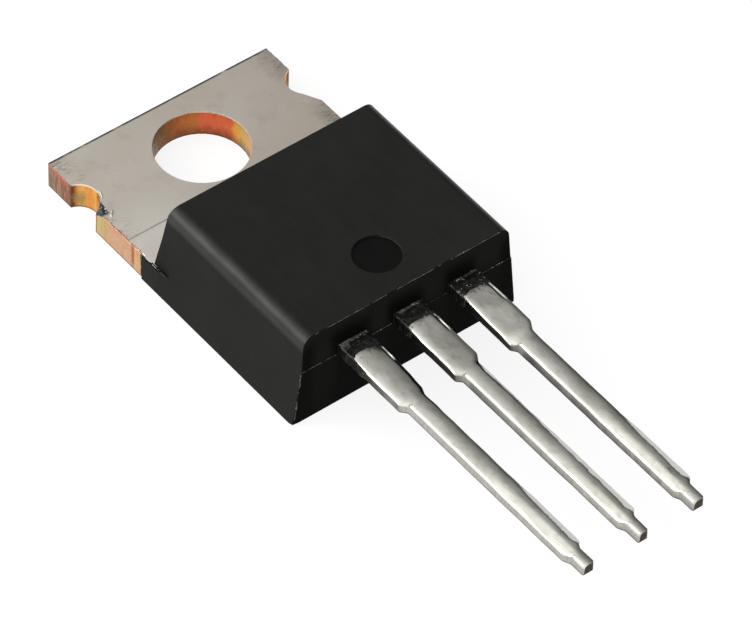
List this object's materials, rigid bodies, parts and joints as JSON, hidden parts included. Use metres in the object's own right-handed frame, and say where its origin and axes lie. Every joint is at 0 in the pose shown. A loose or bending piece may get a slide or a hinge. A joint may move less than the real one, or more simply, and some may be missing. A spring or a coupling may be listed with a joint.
{
  "type": "power mosfet",
  "caption": "Through-hole power transistor: epoxy moulding on a copper tab with a mounting hole and side notches, and straight tinned leads in a row.",
  "frame": {"origin": "centre of the mounting hole on the back (heat-sink) face", "axes": "+Y along the tab away from the leads, +Z out of the top of the moulding, +X towards the source lead"},
  "size_m": [0.0104, 0.0289, 0.0043],
  "materials": {
    "tinned_tab": "matte tin plate on copper, bare copper on the cut edges",
    "tinned_lead": "bright tin plate on copper",
    "solder": "dull solder",
    "silicon": "polished silicon with a metal top layer",
    "bond_wire": "drawn aluminium",
    "epoxy": "matte moulded epoxy, nearly black"
  },
  "bodies": {
    "root": {"drain_tab": "tinned_tab", "gate_lead": "tinned_lead", "source_lead": "tinned_lead", "die_solder": "solder", "silicon_die": "silicon", "gate_wire": "bond_wire", "source_wire_1": "bond_wire", "source_wire_2": "bond_wire", "moulded_body": "epoxy"}
  },
  "joints": []
}
